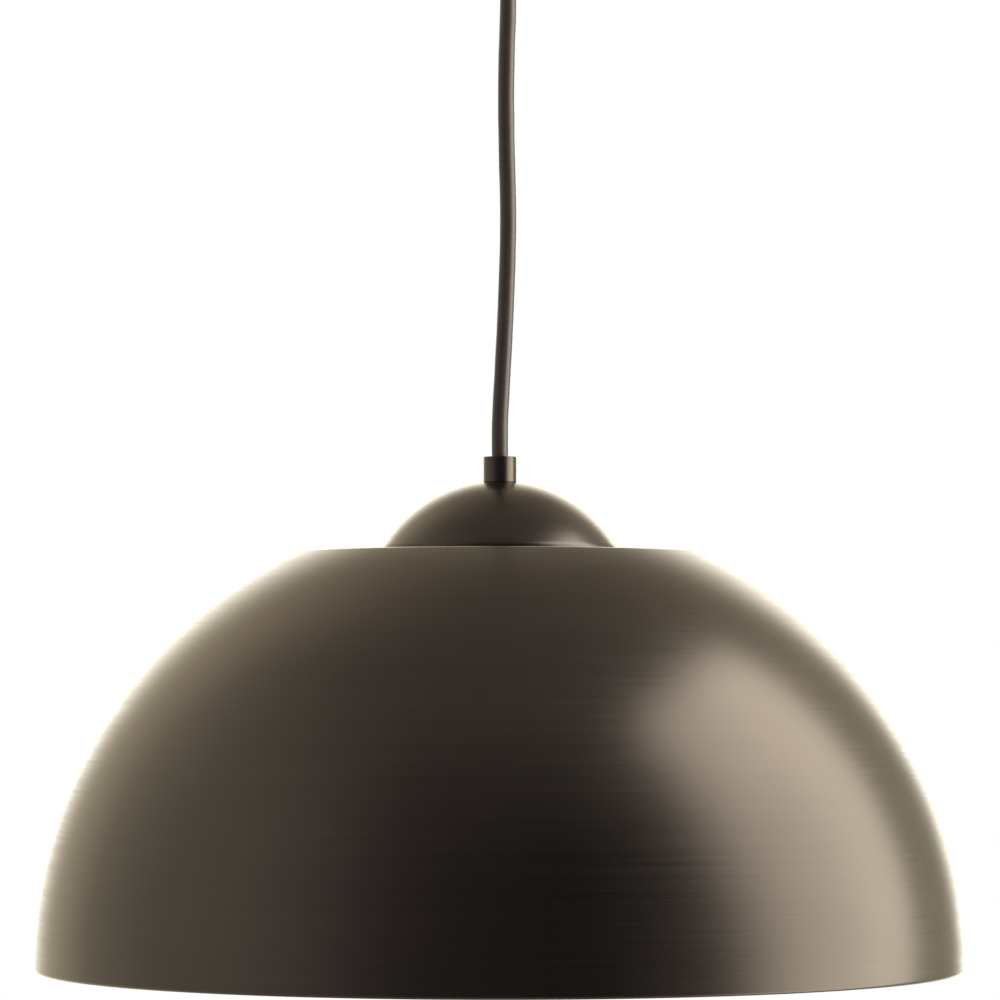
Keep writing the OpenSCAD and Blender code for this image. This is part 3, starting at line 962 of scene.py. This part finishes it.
def make_ground_tail():
    """From the cord, up to a hook round the ground screw under its head."""
    z = high("ground_tail") / MM - 1.15
    start = high("cord_tail") / MM
    centre_y, hook = 20, 3.3
    x, y = GROUND_XY
    turns = [math.radians(a) for a in (25, 70, 115, 160)]
    loop = [(hook * math.cos(a), centre_y + hook * math.sin(a), z) for a in turns]
    route = [
        (x, y, start), (x, y, start + 2), (0.5, 4, -9.5), (2, 9, -7.5), (2.8, 12, z - 1),
        (hook, centre_y - 4.5, z), *loop,
    ]
    add("ground_wire_tail", "ground_tail", tube(mm(route), WIRE_R))


make_ground_tail()
add("line_wire_tail", "line_tail", side_tail(-1, *LINE_XY))
add("neutral_wire_tail", "neutral_tail", side_tail(1, *NEUTRAL_XY))


def wire_nut(side):
    """A ribbed twist-on connector, its mouth towards the axis."""
    length, wide, narrow = 19 * MM, 5.5 * MM, 3.6 * MM

    def cone(z):
        return wide + (narrow - wide) * z / length

    outline = (
        [(3.2 * MM, 10 * MM), (3.2 * MM, 0.4 * MM), (3.6 * MM, 0), (cone(0) - 0.5 * MM, 0)]
        + [(cone(z), z) for z in levels(0.4 * MM, length - 1 * MM, 1 * MM)]
        + arc(narrow - 1 * MM, length - 1 * MM, 1 * MM, 0, 90, 5) + [(0, length), (0, 10 * MM)]
    )
    mesh = lathe(outline, 144, fluted(12, 0.5 * MM, 3 * MM, length - 1.5 * MM, 3.3 * MM))
    turn = -NUT_TURN if side > 0 else math.pi + NUT_TURN
    place_at = Vector(nut_side(side, 30, NUT_Z)) * MM
    across = Matrix.Rotation(math.pi / 2, 4, "Y")
    return moved(mesh, across, Matrix.Rotation(turn, 4, "Z"), Matrix.Translation(place_at))


add("twist_connectors", "wire_nuts", joined(wire_nut(-1), wire_nut(1)))

# ---- ceiling fitting

STUD_R = 2 * MM
STUD_Y = (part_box("canopy_studs")[1].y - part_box("canopy_studs")[0].y) / 2 - STUD_R


def at_studs(make):
    """Two meshes, one at each stud."""
    return [moved(make(), Matrix.Translation((0, side * STUD_Y, 0))) for side in (-1, 1)]


def make_canopy():
    r, bottom, top, bend = radius("canopy"), low("canopy"), high("canopy"), 14 * MM
    hole = 5.2 * MM
    centre = (r - bend, bottom + bend)
    outside = [(r - 0.2 * MM, top), (r, top - 0.2 * MM), (r, top - 1 * MM)]
    outside += arc(*centre, bend, 0, -90, 32)
    inside = arc(*centre, bend - SHEET, -90, 0, 32)
    flats = [(centre[0] - 2 * MM, bottom), (30 * MM, bottom)]
    flats += [(hole + 0.2 * MM, bottom), (hole, bottom + 0.2 * MM)]
    backs = [(hole, bottom + 0.8 * MM), (hole + 0.2 * MM, bottom + SHEET), (30 * MM, bottom + SHEET)]
    rim = [(r - SHEET, top - 0.2 * MM), (r - SHEET + 0.2 * MM, top)]
    mesh = lathe(outside + flats + backs + inside + rim, 192)

    def drill():
        """Turned a little, so that its facets don't fall on the sheet's."""
        return moved(rod(2.3 * MM, bottom - SHEET, bottom + 2 * SHEET), Matrix.Rotation(0.03, 4, "Z"))

    add("ceiling_canopy", "canopy", carved(mesh, *at_studs(drill)), "canopy")


make_canopy()


def finger_nut():
    top, ball = high("finger_nuts"), 5 * MM
    centre = top - 6 * MM
    neck = arc(0, centre, ball, 40, -84, 28)
    outline = (
        [(2.1 * MM, top), (5.7 * MM, top), (6 * MM, top - 0.3 * MM), (6 * MM, top - 0.6 * MM)]
        + [(6 * MM, top - 1.2 * MM), (5.7 * MM, top - 1.5 * MM)]
        + neck + [(0, centre - ball), (0, centre - 0.6 * MM), (2.1 * MM, centre - 0.5 * MM)]
    )
    return lathe(outline, 96, fluted(32, 0.3 * MM, top - 1.3 * MM, top - 0.4 * MM, 5.8 * MM))


def stud():
    return threaded(STUD_R, 0, low("canopy_studs"), high("canopy_studs"), 0.7 * MM, 0.35 * MM, 48)


def stud_nut():
    return nut(7 * MM, STUD_R + 0.05 * MM, low("stud_nuts"), high("stud_nuts"))


add("canopy_finger_nuts", "finger_nuts", joined(*at_studs(finger_nut)), "bronze")
add("threaded_studs", "canopy_studs", joined(*at_studs(stud)))
add("stud_hex_nuts", "stud_nuts", joined(*at_studs(stud_nut)))


def make_canopy_grip():
    r, mouth, top = radius("canopy_grip"), low("canopy_grip"), high("canopy_grip")
    seat, stem = low("canopy"), 4.95 * MM
    flare = rounded([
        (GRIP_BORE, top, 0.3 * MM), (stem, top, 0.3 * MM), (stem, seat, 0), (r, seat, 0.3 * MM),
        (r, mouth, 0.7 * MM), (5.2 * MM, mouth, 0.4 * MM), (GRIP_BORE, mouth + 4 * MM, 1 * MM),
    ])
    mesh = carved(lathe(flare, 128), grub_bore("canopy_grip_screw"))
    add("canopy_cord_grip", "canopy_grip", mesh, "bronze")
    add("canopy_grub_screw", "canopy_grip_screw", grub_screw("canopy_grip_screw"))
    grip_nut = nut(NUT_FLATS, stem + 0.15 * MM, low("canopy_grip_nut"), high("canopy_grip_nut"))
    add("canopy_grip_hex_nut", "canopy_grip_nut", grip_nut)


make_canopy_grip()
add("outlet_box_strap", "box_strap", refined("box_strap"))
add("canopy_cross_strap", "canopy_strap", refined("canopy_strap"))
add("strap_rivet", "strap_eyelet", refined("strap_eyelet", 0.15 * MM))


def make_ground_screw():
    near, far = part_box("ground_screw")
    head_r, y = (far.x - near.x) / 2, (far.y + near.y) / 2
    head_h, r = 1.6 * MM, 2 * MM
    shank = [(r, z) for z in levels(far.z - 0.4 * MM, near.z + head_h, 0.09 * MM)]
    outline = [(0, far.z), (r - 0.4 * MM, far.z), *shank] + [
        (head_r, near.z + head_h), (head_r, near.z + 0.5 * head_h), (0.93 * head_r, near.z + 0.15 * head_h),
        (0.75 * head_r, near.z), (0, near.z),
    ]
    cut = helix(0.7 * MM, 0.35 * MM, wave_vee, near.z + head_h, far.z, r - 0.01 * MM)
    mesh = lathe(outline, 64, lambda a, wide, z: cut(a, wide, z) if wide < 1.01 * r else wide)
    slot = block((6 * MM, 1 * MM, 1.6 * MM), (0, 0, near.z))
    add("green_ground_screw", "ground_screw", moved(carved(mesh, slot), Matrix.Translation((0, y, 0))))


make_ground_screw()

# ---- bulb


def make_bulb():
    tip_top, tip_low = high("bulb_tip"), low("bulb_tip")
    add("bulb_contact", "bulb_tip", lathe(
        [(0, tip_low), (4.3 * MM, tip_low), (4.5 * MM, tip_low + 0.3 * MM), (4.4 * MM, tip_top - 0.5 * MM)]
        + [(4.0 * MM, tip_top - 0.15 * MM), (3.2 * MM, tip_top), (0, tip_top)], 64))
    top, bottom = high("bulb_insulator"), low("bulb_insulator")
    r = radius("bulb_insulator")
    add("bulb_glass_insulator", "bulb_insulator", lathe(rounded([
        (0, top, 0), (4.8 * MM, top, 0.4 * MM), (r, top - 2.1 * MM, 0.5 * MM),
        (r, bottom, 0.2 * MM), (0, bottom, 0),
    ]), 96))
    make_base()
    make_housing()
    make_board()
    make_globe()


def make_base():
    r, top, end = radius("bulb_base"), high("bulb_base"), low("bulb_base")
    wall, collar = 0.45 * MM, 4.5 * MM
    rows = levels(top - 3.2 * MM, end + collar, PITCH / 12)
    plain = levels(end + collar - 0.5 * MM, end + 0.2 * MM, 1 * MM)
    outline = (
        [(8.9 * MM, top - 0.1 * MM), (9.1 * MM, top), (9.5 * MM, top)]
        + [(r - 0.4 * MM, top - 2.7 * MM)] + [(r, z) for z in rows] + [(r, z) for z in plain]
        + [(r - 0.15 * MM, end), (r - wall, end)]
        + [(r - wall, z) for z in reversed(plain)]
        + [(r - wall - THREAD, end + collar + 1 * MM), (r - wall - THREAD, top - 3.4 * MM)]
        + [(8.9 * MM, top - 0.8 * MM)]
    )
    shape = helix(PITCH, THREAD, wave_round, end + collar - 0.6 * MM, top - 2.6 * MM, r - 0.01 * MM)
    add("bulb_screw_base", "bulb_base", lathe(outline, 128, shape, crease=60))


def make_housing():
    top, seat, end = high("bulb_housing"), low("bulb_base"), low("bulb_housing")
    base = radius("bulb_base")
    r, neck, inner = radius("bulb_housing"), base + 1 * MM, base - 0.5 * MM
    length = seat - 5 * MM - end
    flank = [
        (neck + (r - neck) * (t - 0.06 * math.sin(TURN * t)), seat - 5 * MM - length * t)
        for t in levels(0, 1, 1 / 24)
    ]
    outline = (
        [(inner - 2 * MM, top), (inner - 0.2 * MM, top), (inner, top - 0.2 * MM), (inner, seat)]
        + [(base + 0.4 * MM, seat), (base + 0.65 * MM, seat - 0.3 * MM)] + flank
        + [(r - 2.1 * MM, end), (inner - 2 * MM, seat - 5 * MM)]
    )
    add("bulb_neck_housing", "bulb_housing", lathe(outline, 144))


def make_board():
    """The bulb's board, with two rings of chips on it."""
    add("led_circuit_board", "led_board", refined("led_board", 0.1 * MM))
    size = (2.8 * MM, 3.5 * MM, 0.7 * MM)
    z = low("led_board") - size[2] / 2
    chips = []
    for ring, count in ((6.5 * MM, 5), (13.5 * MM, 11)):
        for k in range(count):
            angle = TURN * k / count
            at = Matrix.Translation((ring * math.cos(angle), ring * math.sin(angle), z))
            chips.append(moved(block(size, (0, 0, 0)), Matrix.Rotation(angle, 4, "Z"), at))
    mesh = joined(*chips)
    work = opened(mesh)
    bmesh.ops.bevel(work, geom=work.edges[:], offset=0.12 * MM, segments=2, profile=0.5, affect="EDGES")
    mesh.materials.append(FINISH["phosphor"])
    piece = placed("led_chips", finished(closed(work, mesh)))
    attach(piece, frame["nodes"]["led_board"]["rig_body"])


def make_globe():
    r, bottom, open_z = radius("bulb_globe"), low("bulb_globe"), high("bulb_globe")
    centre, wall = bottom + r, 1.2 * MM
    mouth = math.degrees(math.asin((open_z - centre) / r))
    outline = arc(0, centre, r, mouth, -90, 56) + arc(0, centre, r - wall, -90, mouth - 1, 56)
    add("bulb_diffuser_globe", "bulb_globe", lathe(outline, 160))


make_bulb()

# ---------------------------------------------------------------- studio


def window(nodes, factor, *edges):
    """The factor times a soft step for each (value, outside, inside)."""
    for value, outside, inside in edges:
        factor = nodes.times(factor, nodes.step(value, outside, inside))
    return factor


# The room's light, from -1 at the front to 1 at the backdrop: its first level, then each step's start,
# end and rise, and its tint at places from 0 to 1
ROOM_FRONT = 0.07
ROOM_STEPS = ((-1.05, -0.5, 0.28), (-0.5, -0.2, 0.08), (0, 0.4, 0.2), (0.5, 0.72, 0.4), (0.72, 1, -0.38))
ROOM_TINTS = [
    (0.1, (0.9, 0.87, 1.0)), (0.3, (0.97, 1.0, 0.95)), (0.7, (0.97, 1.0, 0.95)), (0.9, (1.0, 0.92, 0.8)),
]
CEILING = (0.226, 0.225, 0.226, 1)
GLOW = 2.1
GLOW_RISE = 0.83


def room_light(nodes, x, y, z):
    """A studio for the metal to reflect: dark at the front, brighter to the sides and brightest on the
    backdrop, dimmed on the right, with an even ceiling."""
    facing = nodes.math("DIVIDE", y, nodes.math("MAXIMUM", nodes.hypotenuse(x, y), 0.001))
    tint = nodes.ramp(nodes.times_plus(facing, 0.5, 0.5), ROOM_TINTS)
    level = ROOM_FRONT
    for start, end, rise in ROOM_STEPS:
        level = nodes.times_plus(nodes.step(facing, start, end), rise, level)
    dimmer = nodes.times_plus(nodes.step(y, -0.2, 0.5), -0.17, 0.5)
    dimmed = nodes.math("SUBTRACT", 1.0, nodes.times(dimmer, nodes.step(x, 0, 0.3)))
    level = nodes.times(level, dimmed)
    walls = nodes.add("ShaderNodeVectorMath", {"operation": "SCALE"}, Vector=tint, Scale=level)
    overhead = nodes.math("POWER", nodes.math("MAXIMUM", nodes.times_plus(z, 2, -1), 0), 1.5)
    room = nodes.add("ShaderNodeMix", {"data_type": "RGBA"})
    for socket, value in ((0, overhead), (6, walls.outputs[0]), (7, CEILING)):
        nodes.put(room, socket, value)
    return room.outputs[2]


def backdrop_glow(nodes, x, y, z):
    """A bright patch on the backdrop, stronger to the right, seen from the lamp at (across, rise)."""
    back = nodes.math("MAXIMUM", y, 0.05)
    across, rise = nodes.math("DIVIDE", x, back), nodes.math("DIVIDE", z, back)
    return window(
        nodes, nodes.times_plus(nodes.step(across, -0.3, 0.4), GLOW_RISE, GLOW),
        (across, -0.69, -0.20), (across, 0.462, 0.437), (rise, 0.85, 0.20), (rise, -0.5, -0.3),
        (y, 0.3, 0.5),
    )


def make_world():
    """White behind the lamp, and around it the studio that it reflects."""
    world = bpy.data.worlds.new("studio")
    world.use_nodes = True
    scene.world = world
    nodes = Nodes(world.node_tree)
    x, y, z = nodes.split(nodes.add("ShaderNodeTexCoord").outputs["Generated"])
    glow = backdrop_glow(nodes, x, y, z)
    white_glow = nodes.add("ShaderNodeCombineColor", Red=glow, Green=glow, Blue=glow).outputs[0]
    total = nodes.add("ShaderNodeVectorMath", {"operation": "ADD"})
    nodes.fill(total, room_light(nodes, x, y, z), white_glow)
    studio = nodes.add("ShaderNodeBackground", Color=total.outputs[0])
    white = nodes.add("ShaderNodeBackground", Color=(1, 1, 1, 1))
    seen = nodes.add("ShaderNodeLightPath").outputs["Is Camera Ray"]
    mix = nodes.fill(nodes.add("ShaderNodeMixShader"), seen, studio.outputs[0], white.outputs[0])
    nodes.add("ShaderNodeOutputWorld", Surface=mix.outputs[0])


PANEL_X = 0.5
PANEL_LIGHT = 2.63
PANEL_BACK = 1.07  # how much brighter it is at the back


def make_panel():
    """A large soft panel light beside the lamp on the right, brightest towards the back."""
    material = bpy.data.materials.new("panel_light")
    material.use_nodes = True
    nodes = Nodes(material.node_tree)
    _, y, z = nodes.split(place(nodes))
    rise = nodes.plus(z, 0.3)
    strength = nodes.times_plus(nodes.step(y, -0.2, 0.03), PANEL_BACK, PANEL_LIGHT)
    strength = nodes.times(strength, nodes.times_plus(rise, 0.19, 1.0))
    # Its front, rear and top edges lean, and fade out softly
    front = nodes.times_plus(rise, 0.105, y)
    rear = nodes.times_plus(rise, -0.144, y)
    top = nodes.times_plus(y, 0.333, z)
    mask = window(
        nodes, 1.0, (front, -0.53, -0.2), (rear, 0.15, 0.076), (top, 0.334, 0.122), (z, -1.3, -1.0)
    )
    light = nodes.add("ShaderNodeEmission", Color=(0.965, 1, 1, 1), Strength=strength)
    clear = nodes.add("ShaderNodeBsdfTransparent")
    mix = nodes.fill(nodes.add("ShaderNodeMixShader"), mask, clear.outputs[0], light.outputs[0])
    nodes.add("ShaderNodeOutputMaterial", Surface=mix.outputs[0])
    corners = [(0, -0.7, -1.35), (0, 0.3, -1.35), (0, 0.3, 0.6), (0, -0.7, 0.6)]
    mesh = bpy.data.meshes.new("panel_light")
    mesh.from_pydata(corners, [], [(0, 1, 2, 3)])
    mesh.materials.append(material)
    panel = placed("panel_light", mesh)
    panel.location.x = PANEL_X
    panel.visible_camera = False
    panel.visible_shadow = False


FLOOR_Z = -2.6
FLOOR_R = 2.7


def make_floor():
    """A pale floor far below the lamp, fading out towards its edge."""
    material, nodes, principled, point = shader("floor")
    nodes.put(principled, "Base Color", varied(nodes, nodes.noise(point, 3), (0.8, 0.8, 0.79), 0.02))
    nodes.put(principled, "Roughness", 0.7)
    x, y, _ = nodes.split(point)
    nodes.put(principled, "Alpha", nodes.step(nodes.hypotenuse(x, y), 2.6, 1.2))
    edge = [(*spot, 0) for spot in arc(0, 0, FLOOR_R, 0, 360, 96)[:-1]]
    mesh = bpy.data.meshes.new("floor")
    mesh.from_pydata(edge, [], [tuple(range(len(edge)))])
    mesh.materials.append(material)
    floor = placed("floor", mesh)
    floor.location.z = FLOOR_Z


make_world()
make_panel()
make_floor()
scene.view_settings.view_transform = "Standard"
